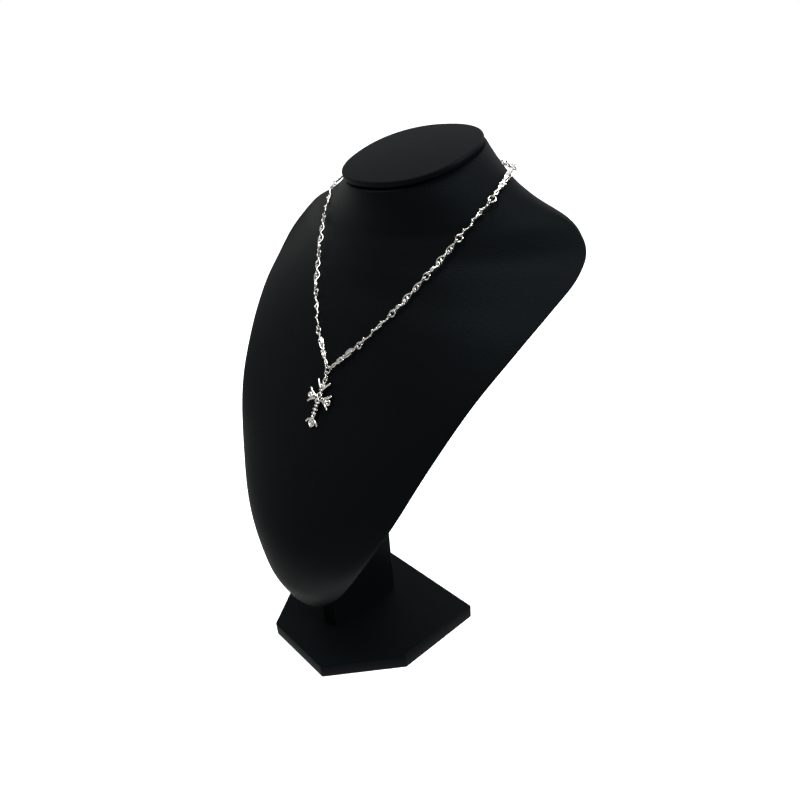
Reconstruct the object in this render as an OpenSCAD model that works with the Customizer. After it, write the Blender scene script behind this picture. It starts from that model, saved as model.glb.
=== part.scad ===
// Silver chain necklace with a gothic cross, on the black neck bust that displays it.
// The front of the bust looks along -Y, +Z is up, and the origin is the middle of the base's underside.

/* [Base and post] */
// Width of the base plate across its two side edges
base_w = 137; // [120:1:160]
// Width of the short front edge of the base plate
base_front_w = 61; // [50:1:80]
// Depth of the base plate from front edge to back edge
base_d = 121; // [110:1:140]
// Depth of the straight side edges, behind the two cut corners
base_side_d = 71; // [60:1:80]
// Thickness of the base plate
base_t = 12; // [8:0.5:16]
// Thickness of the upright post board, left to right
post_t = 16; // [12:1:20]
// Depth of the post board, front to back
post_d = 62; // [50:1:70]
// Distance from the front edge of the base to the post
post_setback = 31; // [25:1:35]

/* [Bust] */
// Half width of the neck cap, left to right
cap_half_w = 53.5; // [52:0.5:56]
// Half depth of the neck cap, front to back along its own slope
cap_half_d = 42; // [40:0.5:44]
// Thickness of the neck cap
cap_t = 5; // [3:0.5:8]
// Forward slope of the neck cap in degrees
cap_slope = 20; // [18:0.5:22]

/* [Chain] */
// Radius of a jump ring, to the middle of its wire
ring_r = 2.15; // [1.9:0.05:2.5]
// Radius of the centre ring that carries the pendant, to the middle of its wire
centre_ring_r = 2.4; // [2.2:0.05:2.8]
// Wire radius of the rings
ring_wire_r = 0.48; // [0.4:0.02:0.56]
// Radius of the loop at each end of a link, to the middle of its wire
eye_r = 1.3; // [1.2:0.05:1.5]
// Wire radius of the loops at the ends of a link
eye_wire_r = 0.42; // [0.36:0.01:0.46]
// Play between a ring and the loop that hangs in it
play = 0.27; // [0.15:0.03:0.3]
// Height of the middle of the chain above the surface of the bust
chain_lift = 2; // [2:0.1:3]
// Extra height of the chain where it bends round the neck
neck_lift = 2.8; // [2.6:0.1:3.2]

/* [Cross] */
// Half length of the cross arm, to the outside of its round bud
arm_half = 12.8; // [11.5:0.1:14]
// Length of the cross from its middle up to the middle of its hanging loop
cross_up = 12.6; // [12:0.1:14]
// Length of the cross from its middle down to its tip
cross_down = 21; // [19:0.1:24]
// Distance of the middle of the cross below the centre ring, along the chest
cross_drop = 20.4; // [19.4:0.1:21]
// Height of the middle of the cross above the surface of the chest
cross_lift = 1.8; // [1.6:0.1:2.5]
// Radius of the round stem of the cross
stem_r = 1.05; // [0.9:0.05:1.3]

/* [Hidden] */
// Gap that parts the pieces of the stand
gap = 0.3;
// Each row is a section of the bust, from its lower tip to the top of its neck. The columns are
// the height of the section, its half width, the y of its front middle, of its side rim and of its
// back middle, the roundness of its front curve, and the share of the cap's slope that it has.
BUST = [
    [43, 6, -44.5, -42.5, -39.5, 1.4, 0],
    [47, 15, -49.5, -43.5, -38.5, 1.4, 0],
    [57, 26, -56.5, -44.5, -37.5, 1.42, 0],
    [78, 46, -63.5, -44.5, -35.5, 1.44, 0],
    [110, 68.5, -60.5, -41.5, -33.5, 1.45, 0],
    [148, 89, -41.5, -29, -10.4, 1.44, 0],
    [186, 105, -17.5, -12.5, 12.6, 1.4, 0],
    [222, 118.5, 3.5, 11, 34.5, 1.3, 0],
    [250, 130.5, 19, 35.5, 51.5, 1.16, 0.17],
    [270, 137.7, 30.5, 57.5, 74.5, 1, 0.34],
    [286, 142, 36.5, 75.4, 94, 0.88, 0.51],
    [300, 137.5, 41.5, 89, 110, 0.87, 0.68],
    [313.5, 121.5, 46.5, 95, 113.5, 1.1, 0.86],
    [320, 95, 49, 92.5, 117, 1.55, 0.97],
    [345.3, 53.7, 46, 92.5, 129.5, 2, 1]
];
BUST_TOP = len(BUST) - 1;
BUST_SECTIONS = 30;
BUST_SIDES = 30;
// Over 1, this sets the sections closer together towards the rounded tip.
BUST_CROWDING = 1.15;
// The back of the bust is flat along the line between these two rows, and the post meets it there.
FLAT_LOW = BUST[4];
FLAT_HIGH = BUST[8];

// Route of one half of the chain over the bust, from the centre ring up the chest, past the side of
// the neck and round its back. The columns are the row of the bust and the turn round it in degrees.
ROUTE = [
    [6.87, 0], [7.49, 10], [8.07, 15.4], [8.64, 18.7], [9.28, 21.8], [10.16, 23.5], [11.27, 25.3],
    [12.04, 35.6], [13.05, 57.3], [13.44, 80.4], [13.49, 103.5], [13.45, 125.7], [13.5, 149.2], [13.5, 180]
];
ROUTE_STEP = 0.05;
NECK_START = 8;
NECK_END = 9.4;
KINDS = ["leaf", "thorn", "leaf", "leaf", "thorn", "leaf", "leaf", "thorn"];
LINKS = len(KINDS);
RINGS = [for (i = [1:LINKS]) i];
SIDES = ["right", "left"];

WIRE_SIDES = 5;
EYE_SIDES = 10;

function unit(v) = v / norm(v);

// Spline through the rows of a table, with every column of a place between two rows.
function row_at(table, k) =
    k < 0 ? 2 * table[0] - table[1] :
    k < len(table) ? table[k] : 2 * table[len(table) - 1] - table[len(table) - 2];
function blend(a, b, c, d, f) =
    b + f * ((c - a) / 2 + f * ((2 * a - 5 * b + 4 * c - d) / 2 + f * (3 * b - a - 3 * c + d) / 2));
function along(table, t) =
    let (k = min(floor(t), len(table) - 2))
    blend(row_at(table, k - 1), row_at(table, k), row_at(table, k + 1), row_at(table, k + 2), t - k);

// Point of the bust: t runs over the rows, and turn goes from the front middle (0) past the right
// side (90) to the back middle (180).
function bust_point(t, turn) =
    let (
        s = along(BUST, t),
        c = cos(turn),
        y = c > 0 ? s[3] + (s[2] - s[3]) * pow(c, 2 / s[5]) : s[3] - (s[4] - s[3]) * c
    )
    [s[1] * sin(turn), y, s[0] + (y - s[3]) * tan(cap_slope * s[6])];
function bust_normal(t, turn) =
    unit(cross(bust_point(t, turn + 2) - bust_point(t, turn - 2),
               bust_point(t + 0.05, turn) - bust_point(t - 0.05, turn)));

// The chain's route as points, with the distance from the centre ring to each.
function lift_at(k) = chain_lift + neck_lift * min(1, max(0, (k - NECK_START) / (NECK_END - NECK_START)));
function route_normal(k) = let (r = along(ROUTE, k)) bust_normal(r[0], r[1]);
function route_point(k) = let (r = along(ROUTE, k)) bust_point(r[0], r[1]) + lift_at(k) * route_normal(k);
ROUTE_KS = [for (k = [0:ROUTE_STEP:len(ROUTE) - 1]) k];
ROUTE_POINTS = [for (k = ROUTE_KS) route_point(k)];
ROUTE_RUN = [
    for (i = 0, run = 0; i < len(ROUTE_KS);
         run = run + (i + 1 < len(ROUTE_KS) ? norm(ROUTE_POINTS[i + 1] - ROUTE_POINTS[i]) : 0), i = i + 1)
    run
];
HALF_CHAIN = ROUTE_RUN[len(ROUTE_RUN) - 1];
PITCH = HALF_CHAIN / (LINKS + 0.5);
function place_at(run) = lookup(run, [for (i = [0:len(ROUTE_KS) - 1]) [ROUTE_RUN[i], ROUTE_KS[i]]]);
RING_POINTS = [for (i = [0:LINKS]) route_point(place_at(i * PITCH))];
function mirrored(p) = [-p.x, p.y, p.z];
function point_of(i) = i < 0 ? mirrored(RING_POINTS[-i]) : i > LINKS ? mirrored(RING_POINTS[LINKS]) : RING_POINTS[i];
// Each ring lies in the plane of the chain's own direction, as near flat on the bust as that allows.
function flat_on(v, n) = unit(v - (v * n) * n);
RING_AHEAD = [for (i = [0:LINKS]) unit(point_of(i + 1) - point_of(i - 1))];
// A ring leans between the bust's slopes this share of a link before it and after it.
RING_REACH = 0.5;
function slope_at(i) = route_normal(place_at(i * PITCH));
function ring_slope(i) = i == 0 ? slope_at(0) : slope_at(i - RING_REACH) + slope_at(i + RING_REACH);
RING_NORMALS = [for (i = [0:LINKS]) flat_on(ring_slope(i), RING_AHEAD[i])];
function ring_radius(i) = i == 0 ? centre_ring_r : ring_r;
// Point on the wire of ring i that lies towards a direction.
function wire_point(i, towards) = RING_POINTS[i] + ring_radius(i) * flat_on(towards, RING_NORMALS[i]);
// Distance from the middle of the ring's wire to the middle of a loop that hangs on it.
EYE_OFFSET = eye_r - eye_wire_r - ring_wire_r - play;

// Line of the chest at the pendant, from the centre ring downwards.
CHEST_OUT = RING_NORMALS[0];
CHEST_DOWN = cross([1, 0, 0], CHEST_OUT);
CENTRE = RING_POINTS[0];
CROSS_POINT = CENTRE + cross_drop * CHEST_DOWN + (cross_lift - chain_lift) * CHEST_OUT;

function ring_name(i, side) = str("ring_", i, "_", side);
function link_name(i, side) = str(KINDS[i - 1], "_link_", i, "_", side);

// Places what follows at a point, with its x axis along one direction and its z axis near another.
module place(point, along_x, near_z) {
    x = unit(along_x);
    z = unit(near_z - (near_z * x) * x);
    y = cross(z, x);
    multmatrix([[x.x, y.x, z.x, point.x], [x.y, y.y, z.y, point.y], [x.z, y.z, z.z, point.z], [0, 0, 0, 1]])
        children();
}

module sided(side) {
    if (side == "right") children();
    else mirror([1, 0, 0]) children();
}

// Tapered spike through a list of points.
SPIKE_SIDES = 4;
module spike(points, r0, r1) {
    last = len(points) - 1;
    for (i = [0:last - 1])
        hull() {
            translate(points[i]) sphere(r = r0 + (r1 - r0) * i / last, $fn = SPIKE_SIDES);
            translate(points[i + 1]) sphere(r = r0 + (r1 - r0) * (i + 1) / last, $fn = SPIKE_SIDES);
        }
}

// Loop at the end of a link, standing on edge above the chest.
module eye(x) {
    translate([x, 0, 0]) rotate([90, 0, 0])
        rotate_extrude($fn = EYE_SIDES) translate([eye_r, 0]) circle(r = eye_wire_r, $fn = WIRE_SIDES);
}

module ring(r) {
    rotate_extrude($fn = 96) translate([r, 0]) circle(r = ring_wire_r, $fn = 48);
}

module jump_ring(i, side) {
    color("silver") sided(side) place(RING_POINTS[i], RING_AHEAD[i], RING_NORMALS[i]) ring(ring_radius(i));
}

// Stem of one radius that runs along x through a list of points, and turns a little at each of them.
STEM_TWIST = 9;
module stem(points, r) {
    last = len(points) - 1;
    rings = [for (i = [0:last]) for (j = [0:WIRE_SIDES - 1])
        let (turn = j * 360 / WIRE_SIDES + i * STEM_TWIST)
        points[i] + r * [0, cos(turn), sin(turn)]];
    walls = [for (i = [0:last - 1]) for (j = [0:WIRE_SIDES - 1])
        let (a = i * WIRE_SIDES, k = (j + 1) % WIRE_SIDES)
        [a + j, a + WIRE_SIDES + j, a + WIRE_SIDES + k, a + k]];
    ends = [[for (j = [0:WIRE_SIDES - 1]) j], [for (j = [WIRE_SIDES - 1:-1:0]) last * WIRE_SIDES + j]];
    polyhedron(rings, concat(walls, ends));
}

// Pointed blade with a ridge and a keel, from a foot to a tip, widest a share of the way along.
BLADE_KEEL = 0.15;
module blade(foot, tip, half_w, ridge, widest) {
    middle = foot + (tip - foot) * widest + [0, 0, BLADE_KEEL];
    side = half_w * unit(cross([0, 0, 1], tip - foot));
    points = [foot, tip, middle + side, middle - side, middle + [0, 0, ridge]];
    hull() polyhedron(points, [[0, 2, 4], [1, 3, 4]]);
}

// Cast leaf link: two stems wound round each other, with pointed leaves along them.
LEAF_TURNS = 1.15;
LEAF_STEPS = 5;
LEAF_SPREAD = 0.75;
LEAF_NIP = 0.5;
LEAF_PHASE = 40;
LEAF_FLATNESS = 0.6;
LEAF_HALF_W = 0.85;
LEAF_RIDGE = 0.75;
LEAF_WIDEST = 0.5;
LEAF_LOW = -0.08;
LEAF_ASIDE = 0.13;
// The two stems, each by its turn ahead in degrees and its radius.
LEAF_STRANDS = [[0, 0.5], [167, 0.44]];
// Each row is a leaf: where its foot and its tip lie along the link, and how far its tip stands
// to the side and outwards.
LEAVES = [[0.09, 0.2, 1.2, 0.5], [0.14, 0.36, 2.2, 0.4], [0.24, 0.46, -2.1, 0.3], [0.46, 0.62, 1.7, 0.5],
          [0.58, 0.84, -2.2, 0.4], [0.62, 0.92, 2.1, 0.3], [0.56, 0.8, 0.2, 1.2], [0.82, 0.91, -1.1, 0.6]];
function leaf_stem(f, half) =
    let (
        turn = half + LEAF_PHASE + 360 * LEAF_TURNS * f,
        spread = LEAF_SPREAD * max(LEAF_NIP, sin(180 * f) ^ 0.5)
    )
    [0, spread * sin(turn), LEAF_FLATNESS * spread * cos(turn)];
module leaf_link(length) {
    start = eye_r;
    run = length - 2 * eye_r;
    eye(0);
    eye(length);
    for (strand = LEAF_STRANDS)
        stem([for (i = [0:LEAF_STEPS]) [start + run * i / LEAF_STEPS, 0, 0] + leaf_stem(i / LEAF_STEPS, strand[0])],
             strand[1]);
    for (leaf = LEAVES) {
        foot = [start + run * leaf[0], LEAF_ASIDE * leaf[2], LEAF_LOW + LEAF_ASIDE * leaf[3]];
        tip = [start + run * leaf[1], leaf[2], leaf[3]];
        blade(foot, tip, LEAF_HALF_W, LEAF_RIDGE, LEAF_WIDEST);
    }
}

// Cast thorn link: one thin waved stem with knots and thorns.
THORN_STEPS = 6;
THORN_WAVE = 0.7;
THORN_STEM_R = 0.5;
THORN_HALF_W = 0.8;
THORN_RIDGE = 0.8;
THORN_WIDEST = 0.25;
THORN_HEEL = 0.4;
// Each row is a thorn: its place along the link, and how far its tip stands ahead and to the side.
THORNS = [[0.06, -0.6, 1.1], [0.22, 1.3, 1.7], [0.34, 1, -1.3], [0.46, -1.2, -1.6],
          [0.58, 1, 1.4], [0.7, 1.2, -1.5], [0.82, -1.3, 1.7], [0.94, 0.6, -1.1]];
function thorn_stem(f) = [0, THORN_WAVE * sin(540 * f), 0];
module thorn_link(length) {
    start = eye_r;
    run = length - 2 * eye_r;
    eye(0);
    eye(length);
    stem([for (i = [0:THORN_STEPS]) [start + run * i / THORN_STEPS, 0, 0] + thorn_stem(i / THORN_STEPS)],
         THORN_STEM_R);
    for (thorn = THORNS) {
        foot = [start + run * thorn[0], 0, 0.1] + thorn_stem(thorn[0]);
        heel = foot - [thorn[1], thorn[2], 0] * THORN_HEEL;
        blade(heel, foot + [thorn[1], thorn[2], 0.2], THORN_HALF_W, THORN_RIDGE, THORN_WIDEST);
    }
}

module chain_link(i, side) {
    chord = RING_POINTS[i] - RING_POINTS[i - 1];
    from = wire_point(i - 1, chord);
    to = wire_point(i, -chord);
    ahead = unit(to - from);
    length = norm(to - from) - 2 * EYE_OFFSET;
    color("silver") sided(side) place(from + EYE_OFFSET * ahead, ahead, RING_NORMALS[i - 1] + RING_NORMALS[i])
        if (KINDS[i - 1] == "leaf") leaf_link(length);
        else thorn_link(length);
}

// Plain barrel clasp at the nape, between the last two rings.
CLASP_R = 1.4;
module clasp() {
    from = wire_point(LINKS, [-1, 0, 0]) - [EYE_OFFSET, 0, 0];
    length = 2 * from.x;
    color("silver") place(from, [-1, 0, 0], RING_NORMALS[LINKS]) {
        for (x = [0, length])
            translate([x, 0, 0]) rotate([90, 0, 0])
                rotate_extrude($fn = 96) translate([eye_r, 0]) circle(r = eye_wire_r, $fn = 48);
        translate([eye_r, 0, 0]) rotate([0, 90, 0]) cylinder(r = CLASP_R, h = length - 2 * eye_r, $fn = 96);
    }
}

// Radius of the loop that the cross hangs by, to the middle of its wire.
HANG_R = 1.6;

// Bail: a narrow loop on edge through the centre ring and the loop of the cross, swayed like an S.
BAIL_WIRE_R = 0.4;
BAIL_HALF_W = 1.2;
BAIL_PLAY = 0.3;
BAIL_SWAY = 0.15;
BAIL_WAVE = 50;
BAIL_STEPS = 12;
module bail() {
    top = centre_ring_r - ring_wire_r - BAIL_WIRE_R - BAIL_PLAY;
    bottom = cross_drop - cross_up - HANG_R + eye_wire_r + BAIL_WIRE_R + BAIL_PLAY;
    middle = (top + bottom) / 2;
    straight = (bottom - top) / 2 - BAIL_HALF_W;
    turns = [for (half = [0, 180]) for (i = [0:BAIL_STEPS / 2 - 1]) [half - 90 + 180 * i / (BAIL_STEPS / 2 - 1), half]];
    rings = [for (turn = turns) for (j = [0:WIRE_SIDES - 1])
        let (
            out = BAIL_HALF_W + BAIL_WIRE_R * cos(j * 360 / WIRE_SIDES),
            x = (turn[1] == 0 ? straight : -straight) + out * cos(turn[0])
        )
        [middle + x, BAIL_SWAY * sin(BAIL_WAVE * x) + BAIL_WIRE_R * sin(j * 360 / WIRE_SIDES), out * sin(turn[0])]];
    walls = [for (i = [0:BAIL_STEPS - 1]) for (j = [0:WIRE_SIDES - 1])
        let (a = i * WIRE_SIDES, b = (i + 1) % BAIL_STEPS * WIRE_SIDES, k = (j + 1) % WIRE_SIDES)
        [a + j, b + j, b + k, a + k]];
    color("silver") place(CENTRE, CHEST_DOWN, CHEST_OUT) polyhedron(rings, walls);
}

// Spikes of the cross, each a row: the spike's foot, its knee and its tip, measured from the middle
// of the cross to the right and up. Each is mirrored to the left.
SPIKES = [
    [[0, 5.5], [3.2, 8.4], [6.3, 12.3]],
    [[6.2, 0.3], [9, 2], [11.5, 4.6]],
    [[6.2, -0.3], [8.8, -1.8], [11.3, -4.3]],
    [[0, -14.4], [3.2, -15.4], [6.1, -17.6]]
];
SPIKE_R = 0.75;
SPIKE_TIP_R = 0.3;
// Bands round the stem, as distances above the middle of the cross, and round each arm.
STEM_BANDS = [6.6, 4.2, -3.6, -7.2, -11];
ARM_BAND = 5.2;
BUD_R = 1.35;
BUD_WIRE_R = 0.6;
BOSS_R = 1.6;
CROSS_SIDES = 6;
module spot(x, y, r) {
    translate([x, y, 0]) scale([1, 1, 0.85]) sphere(r = r, $fn = CROSS_SIDES);
}
module bud(x, y) {
    translate([x, y, 0]) rotate_extrude($fn = EYE_SIDES) translate([BUD_R, 0]) circle(r = BUD_WIRE_R, $fn = WIRE_SIDES);
}
module bar(from, to, r) {
    hull() {
        spot(from.x, from.y, r);
        spot(to.x, to.y, r);
    }
}
module cross_body() {
    bud_x = arm_half - BUD_R - BUD_WIRE_R;
    bar([0, 9], [0, -15], stem_r);
    bar([-bud_x + BUD_R, 0], [bud_x - BUD_R, 0], stem_r);
    for (y = STEM_BANDS)
        bar([-0.5, y], [0.5, y], stem_r * 1.05);
    for (flip = [-1, 1]) {
        bar([flip * ARM_BAND, -0.5], [flip * ARM_BAND, 0.5], stem_r * 1.05);
        bud(flip * bud_x, 0.2);
        bar([-2.4, -2 * flip], [2.4, 2 * flip], 0.7);
        for (points = SPIKES)
            spike([for (p = points) [flip * p.x, p.y, 0]], SPIKE_R, SPIKE_TIP_R);
        hull() {
            spot(0, -14.6, 0.9);
            spot(flip * 3.2, -18, 0.4);
            spot(0, -cross_down + 0.3, 0.3);
        }
    }
    spot(0, 0, BOSS_R);
    spot(0, 9.7, BOSS_R);
    spot(0, -17.4, BOSS_R);
    translate([0, cross_up, 0])
        rotate_extrude($fn = EYE_SIDES) translate([HANG_R, 0]) circle(r = eye_wire_r, $fn = WIRE_SIDES);
}
module cross_pendant() {
    color("silver") place(CROSS_POINT, [1, 0, 0], CHEST_OUT) cross_body();
}

module base_plate() {
    half_w = base_w / 2;
    half_d = base_d / 2;
    corner_y = half_d - base_side_d;
    color("black") linear_extrude(base_t)
        polygon([[-base_front_w / 2, -half_d], [base_front_w / 2, -half_d], [half_w, corner_y],
                 [half_w, half_d], [-half_w, half_d], [-half_w, corner_y]]);
}

// Post board, whose slanted top follows the flat back of the bust.
function flat_back_z(y) =
    FLAT_LOW[0] + (y - FLAT_LOW[4]) * (FLAT_HIGH[0] - FLAT_LOW[0]) / (FLAT_HIGH[4] - FLAT_LOW[4]) - 2 * gap;
module post() {
    front = post_setback - base_d / 2;
    back = front + post_d;
    floor_z = base_t + gap / 2;
    color("black") rotate([90, 0, 90]) translate([0, 0, -post_t / 2]) linear_extrude(post_t)
        polygon([[front, floor_z], [back, floor_z], [back, flat_back_z(back)], [front, flat_back_z(front)]]);
}

function bust_ring(t) = [for (i = [0:BUST_SIDES - 1]) bust_point(t, i * 360 / BUST_SIDES)];
module bust() {
    ts = [for (i = [0:BUST_SECTIONS]) BUST_TOP * pow(i / BUST_SECTIONS, BUST_CROWDING)];
    points = [for (t = ts) each bust_ring(t)];
    top_start = BUST_SECTIONS * BUST_SIDES;
    walls = [for (i = [0:BUST_SECTIONS - 1]) for (j = [0:BUST_SIDES - 1])
        let (a = i * BUST_SIDES + j, b = i * BUST_SIDES + (j + 1) % BUST_SIDES)
        [a, a + BUST_SIDES, b + BUST_SIDES, b]];
    tip_cap = [for (j = [0:BUST_SIDES - 1]) j];
    top_cap = [for (j = [BUST_SIDES - 1:-1:0]) top_start + j];
    color("black") polyhedron(points, concat(walls, [tip_cap, top_cap]));
}

// The cap's outline is an oval whose sides are a little squared off.
CAP_ROUNDNESS = 2.25;
function squared(v) = sign(v) * pow(abs(v), 2 / CAP_ROUNDNESS);
module neck_cap() {
    top = BUST[BUST_TOP];
    middle_y = (top[2] + top[4]) / 2;
    color("black") translate([0, middle_y, top[0] + (middle_y - top[3]) * tan(cap_slope)])
        rotate([cap_slope, 0, 0]) translate([0, 0, gap]) linear_extrude(cap_t)
        polygon([for (i = [0:47]) [cap_half_w * squared(cos(i * 7.5)), cap_half_d * squared(sin(i * 7.5))]]);
}

base_plate();
post();
bust();
neck_cap();
jump_ring(0, "right");  // centre_ring
bail();
cross_pendant();
clasp();
for (side = SIDES)
    for (i = RINGS) {
        jump_ring(i, side);
        chain_link(i, side);
    }
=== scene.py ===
"""Silver cross necklace on its black leatherette neck bust: the looks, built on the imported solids.

Places are in metres in the solids' own frame: the chest looks along -Y, +Z is up, and the origin is
the middle of the base's underside. Sizes in the classes are in millimetres, as a maker gives them.
"""

from __future__ import annotations

import logging
import math
from dataclasses import dataclass, field
from enum import Enum
from typing import Callable, Iterable, Sequence

import bmesh
import bpy
import numpy as np
from mathutils import Matrix, Vector


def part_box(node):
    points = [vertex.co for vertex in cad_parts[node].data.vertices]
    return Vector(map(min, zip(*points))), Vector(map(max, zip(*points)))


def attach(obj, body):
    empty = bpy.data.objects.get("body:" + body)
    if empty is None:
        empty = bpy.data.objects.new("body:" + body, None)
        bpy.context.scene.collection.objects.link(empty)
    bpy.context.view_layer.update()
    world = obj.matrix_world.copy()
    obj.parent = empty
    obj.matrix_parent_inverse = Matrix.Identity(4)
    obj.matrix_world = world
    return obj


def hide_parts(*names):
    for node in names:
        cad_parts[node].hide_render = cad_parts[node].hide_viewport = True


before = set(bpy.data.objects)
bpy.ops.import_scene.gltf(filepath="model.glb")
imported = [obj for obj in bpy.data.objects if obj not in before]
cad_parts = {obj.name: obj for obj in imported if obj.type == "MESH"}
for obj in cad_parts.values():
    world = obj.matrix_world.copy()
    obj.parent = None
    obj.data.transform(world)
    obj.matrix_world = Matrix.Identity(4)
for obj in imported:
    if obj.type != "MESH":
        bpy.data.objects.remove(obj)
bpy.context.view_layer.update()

log = logging.getLogger("necklace")

MM = 0.001
# Points nearer than this are one point.
WELD = 1e-6
NodeTree = bpy.types.NodeTree
Node = bpy.types.Node
Socket = bpy.types.NodeSocket
BMesh = bmesh.types.BMesh
Material = bpy.types.Material
Mesh = bpy.types.Mesh
Piece = bpy.types.Object
Span = tuple[float, float]
Place = tuple[float, float, float]
Row = tuple[float, ...]


# Small helpers


def linear(code: str) -> tuple[float, float, float, float]:
    """Turns an sRGB hex colour into the linear colour that a socket takes.

    Args:
        code: Six hex digits after a hash sign.

    Returns:
        Red, green, blue and alpha.
    """
    parts = [int(code[i : i + 2], 16) / 255 for i in (1, 3, 5)]
    flat = [p / 12.92 if p <= 0.04045 else ((p + 0.055) / 1.055) ** 2.4 for p in parts]
    return (flat[0], flat[1], flat[2], 1.0)


def feed(tree: NodeTree, node: Node, inputs: dict) -> None:
    """Sets inputs of a node, each to a value or to the output socket that feeds it.

    Args:
        tree: The node tree.
        node: The node.
        inputs: For each input, its value or the socket.
    """
    for key, value in inputs.items():
        if isinstance(value, Socket):
            tree.links.new(value, node.inputs[key])
        else:
            node.inputs[key].default_value = value


def add_node(tree: NodeTree, kind: str, settings: dict | None = None, inputs: dict | None = None) -> Node:
    """Adds one node to a tree, with its settings, its values and its links.

    Args:
        tree: The node tree.
        kind: The node's type name, without ShaderNode before it.
        settings: Attributes of the node.
        inputs: For each input, a value or the output socket that feeds it.

    Returns:
        The new node.
    """
    node = tree.nodes.new("ShaderNode" + kind)
    for key, value in (settings or {}).items():
        setattr(node, key, value)
    feed(tree, node, inputs or {})
    return node


def new_material(name: str) -> tuple[Material, NodeTree, Socket]:
    """Makes a material with a principled shader.

    Args:
        name: The material's name.

    Returns:
        The material, its tree, and the place on the piece that its patterns follow.
    """
    made = bpy.data.materials.new(name)
    made.use_nodes = True
    tree = made.node_tree
    return made, tree, add_node(tree, "TexCoord").outputs["Object"]


def catmull(table: Sequence[Row], place: float) -> list[float]:
    """Reads a table of rows at a place between two of them, on a smooth spline through all rows.

    Args:
        table: Rows of numbers.
        place: Row number, which may lie between two rows.

    Returns:
        One blended row.
    """
    before, after = ([2 * p - q for p, q in zip(table[i], table[j])] for i, j in ((0, 1), (-1, -2)))
    k = min(int(place), len(table) - 2)
    f = place - k
    return [
        b + f * ((c - a) / 2 + f * ((2 * a - 5 * b + 4 * c - d) / 2 + f * (3 * b - a - 3 * c + d) / 2))
        for a, b, c, d in zip(*(before, *table, after)[k : k + 4])
    ]


def smooth(table: Sequence[Row], steps: int) -> list[list[float]]:
    """Gives rows along the spline through a table's rows, one more than there are steps."""
    last = len(table) - 1
    return [catmull(table, last * i / steps) for i in range(steps + 1)]


def wrap(bm: BMesh, around: int, along: int, place: Callable[[float, float], Vector]) -> None:
    """Wraps a grid into a closed tube or dome and caps its open ends.

    Args:
        bm: The mesh that it joins.
        around: Faces round the tube.
        along: Faces along the tube.
        place: Gives the point at a share of the way round and a share of the way along.
    """
    grid = bmesh.ops.create_grid(bm, x_segments=around, y_segments=along, size=1.0)["verts"]
    for vert in grid:
        vert.co = place((vert.co.x + 1) / 2, (vert.co.y + 1) / 2)
    bmesh.ops.remove_doubles(bm, verts=grid, dist=WELD)
    rims = [e for e in bm.edges if e.is_boundary]
    bmesh.ops.holes_fill(bm, edges=rims, sides=0)


def rod(
    bm: BMesh,
    path: Sequence[Vector],
    radii: Sequence[float],
    sides: int = 10,
    up: Vector = Vector((0, 0, 1)),
) -> None:
    """Sweeps a round section along a path, which may end where it starts.

    Args:
        bm: The mesh that it joins.
        path: Points of the middle line.
        radii: The radius at each point.
        sides: Faces round the rod.
        up: A direction that the path never takes.
    """
    last = len(path) - 1
    closed = (path[0] - path[-1]).length < WELD
    rings = []
    for i, point in enumerate(path):
        before = path[i - 1] if i else (path[-2] if closed else path[0])
        after = path[i + 1] if i < last else (path[1] if closed else path[-1])
        ahead = (after - before).normalized()
        side = ahead.cross(up).normalized()
        rings.append((point, side, side.cross(ahead), radii[i]))

    def place(share: float, run: float) -> Vector:
        """Point on the rod's skin.

        Args:
            share: Share of the way round.
            run: Share of the way along.

        Returns:
            The point.
        """
        point, side, over, r = rings[round(run * last)]
        turn = 2 * math.pi * share
        return point + r * (math.cos(turn) * side + math.sin(turn) * over)

    wrap(bm, sides, last, place)


def loop(
    bm: BMesh,
    middle: Place,
    axis: Place,
    r: float,
    wire: float,
    around: int = 28,
    flat: float = 1.0,
) -> None:
    """Adds a round wire ring, or an oval one.

    Args:
        bm: The mesh that it joins.
        middle: Middle of the ring.
        axis: Direction of the ring's axis.
        r: Radius to the middle of the wire.
        wire: Radius of the wire.
        around: Stretches round the ring.
        flat: Share of the radius that it has along z, or along y where its axis is z.
    """
    axis_v = Vector(axis).normalized()
    over = Vector((0, 1, 0)) if abs(axis_v.z) > 0.9 else Vector((0, 0, 1))
    across = over.cross(axis_v).normalized()
    other = axis_v.cross(across)
    turns = [2 * math.pi * i / around for i in range(around + 1)]
    path = [Vector(middle) + r * (math.cos(t) * across + flat * math.sin(t) * other) for t in turns]
    rod(bm, path, [wire] * len(path), up=axis_v)


def stud(bm: BMesh, middle: Place | Vector, size: Place) -> None:
    """Adds a domed stud, an ellipsoid with the three half sizes given."""
    matrix = Matrix.Translation(middle) @ Matrix.Diagonal((*size, 1.0))
    bmesh.ops.create_uvsphere(bm, u_segments=20, v_segments=12, radius=1.0, matrix=matrix)


def round_edges(bm: BMesh, edges: Iterable[bmesh.types.BMEdge], size: float, segments: int) -> None:
    """Rounds edges off.

    Args:
        bm: The mesh that they are in, in metres.
        edges: The edges.
        size: How far from an edge its round starts, in millimetres.
        segments: Faces across the round.
    """
    bmesh.ops.bevel(
        bm,
        geom=list(edges),
        offset=size * MM,
        offset_type="OFFSET",
        affect="EDGES",
        segments=segments,
        profile=0.5,
        material=-1,
    )


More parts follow.
